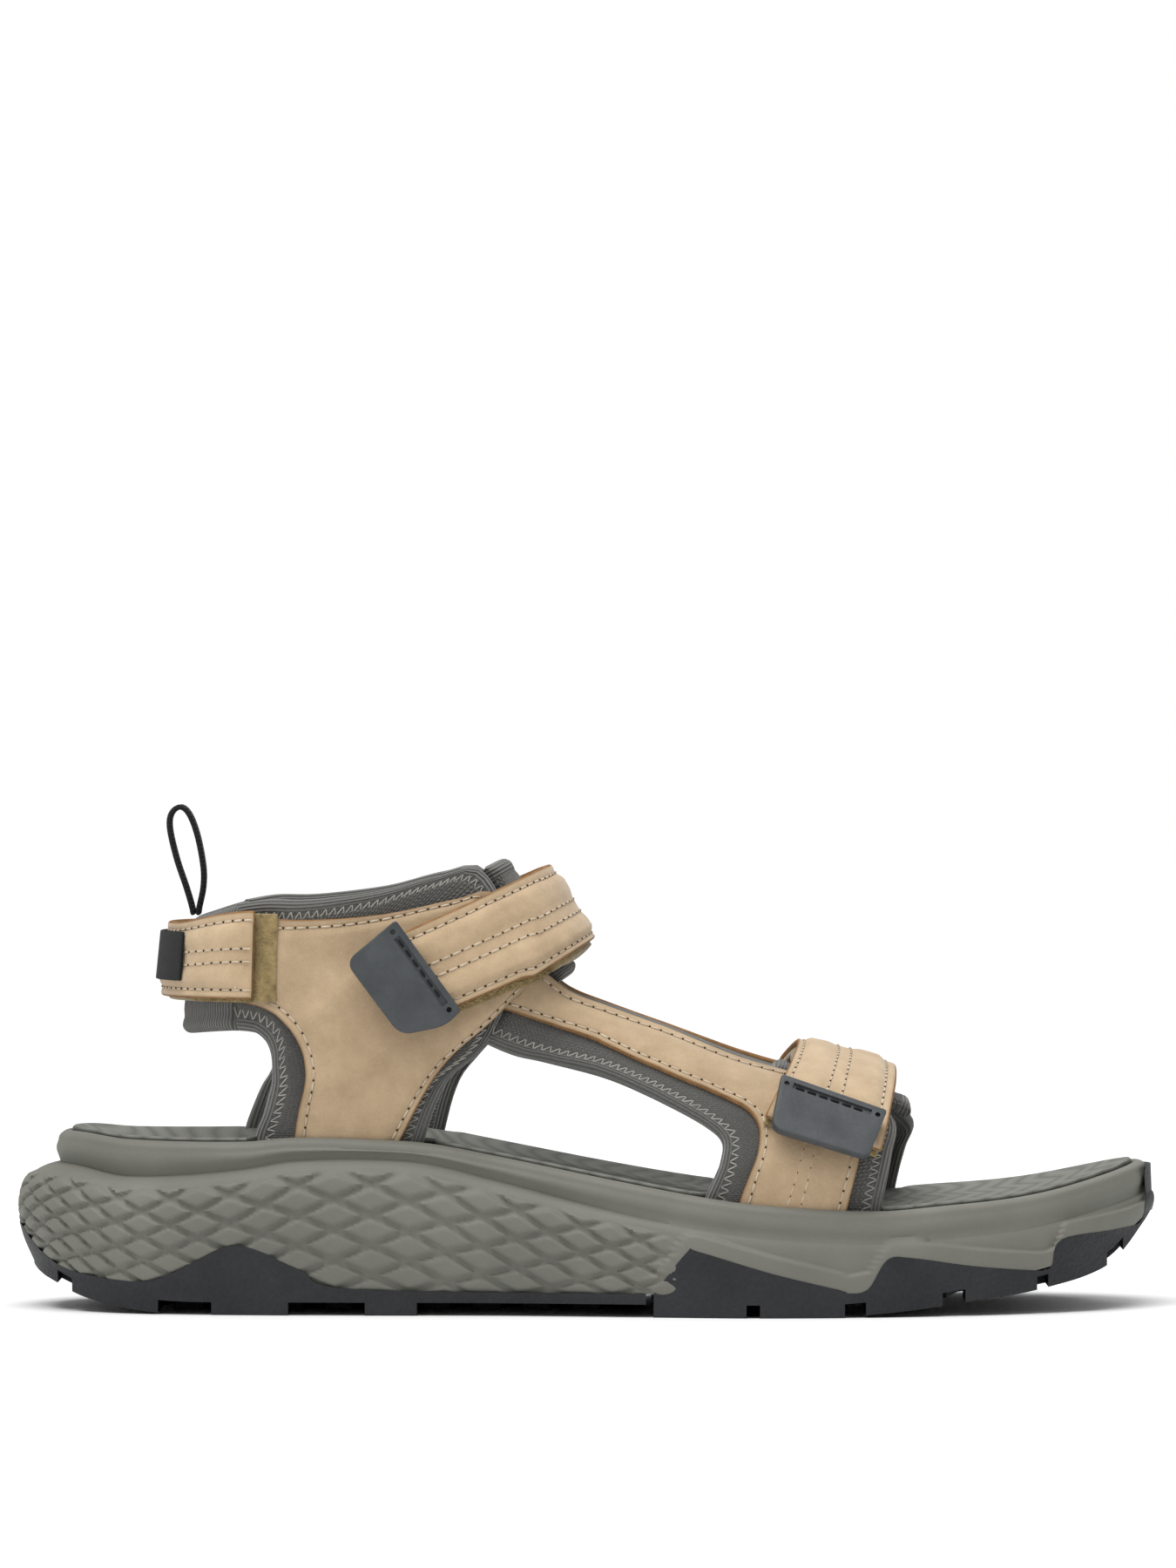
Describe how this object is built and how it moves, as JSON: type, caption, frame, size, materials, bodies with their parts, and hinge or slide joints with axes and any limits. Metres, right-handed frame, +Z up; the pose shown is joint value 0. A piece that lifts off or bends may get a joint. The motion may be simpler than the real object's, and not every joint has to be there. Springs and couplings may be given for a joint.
{
  "type": "strappy sport sandal",
  "caption": "Right-foot strappy sport sandal with leather and padded knit upper, peel-open hook-and-loop straps, heel pull loop, moulded foam midsole and lugged rubber outsole.",
  "frame": {"origin": "centre of the bounding box in plan, on the ground under the tread", "axes": "+X from heel to toe, +Y towards the inner (medial) side of the foot, +Z up"},
  "size_m": [0.2998, 0.1151, 0.1323],
  "materials": {
    "midsole_foam": "matt moulded skin",
    "outsole_rubber": "matt, finely pebbled",
    "insole_board": "matt fibre board",
    "footbed_foam": "matt foam",
    "footbed_cover": "matt, textured",
    "lining_knit": "fine knit",
    "leather": "nubuck",
    "loop_tape": "fuzzy pile",
    "hook_tape": "hook pile",
    "strap_backing": "brushed",
    "tab_rubber": "matt moulded",
    "black_webbing": "woven"
  },
  "bodies": {
    "sandal": {"midsole": "midsole_foam", "outsole_rear": "outsole_rubber", "outsole_front": "outsole_rubber", "insole_board": "insole_board", "footbed_foam": "footbed_foam", "footbed_cover": "footbed_cover", "quarter_lining_lateral": "lining_knit", "quarter_lining_medial": "lining_knit", "heel_lining": "lining_knit", "vamp_lining_lateral": "lining_knit", "vamp_lining_medial": "lining_knit", "instep_pad": "lining_knit", "forefoot_pad": "lining_knit", "quarter_leather_lateral": "leather", "quarter_leather_medial": "leather", "heel_leather": "leather", "vamp_leather_lateral": "leather", "vamp_leather_medial": "leather", "instep_loop_patch": "loop_tape", "instep_backing": "strap_backing", "instep_strap_base": "leather", "forefoot_loop_patch": "loop_tape", "forefoot_backing": "strap_backing", "forefoot_strap_base": "leather", "heel_loop_patch": "loop_tape", "heel_backing": "strap_backing", "heel_strap_base": "leather", "heel_label": "black_webbing"},
    "instep_tail": {"instep_strap_tail": "leather", "instep_hook_tape": "hook_tape", "instep_pull_tab": "tab_rubber"},
    "forefoot_tail": {"forefoot_strap_tail": "leather", "forefoot_hook_tape": "hook_tape", "forefoot_pull_tab": "tab_rubber"},
    "heel_tail": {"heel_strap_tail": "leather", "heel_hook_tape": "hook_tape"},
    "pull_loop": {"heel_pull_loop": "black_webbing"}
  },
  "joints": [
    {"name": "instep_peel", "type": "hinge", "parent": "sandal", "child": "instep_tail", "pos_m": [-0.01532, -0.02824, 0.10112], "axis": [-0.5332, -0.0309, 0.8454], "range_deg": [0, 110]},
    {"name": "forefoot_peel", "type": "hinge", "parent": "sandal", "child": "forefoot_tail", "pos_m": [0.06783, -0.01945, 0.06483], "axis": [-0.9632, -0.0528, 0.2634], "range_deg": [0, 110]},
    {"name": "heel_peel", "type": "hinge", "parent": "sandal", "child": "heel_tail", "pos_m": [-0.10377, -0.02467, 0.09229], "axis": [-0.071, -0.0131, -0.9974], "range_deg": [0, 100]},
    {"name": "loop_fold", "type": "hinge", "parent": "sandal", "child": "pull_loop", "pos_m": [-0.1035, 0, 0.105], "axis": [0, 1, 0], "range_deg": [-40, 50], "stiffness_Nm_per_rad": 0.003}
  ]
}
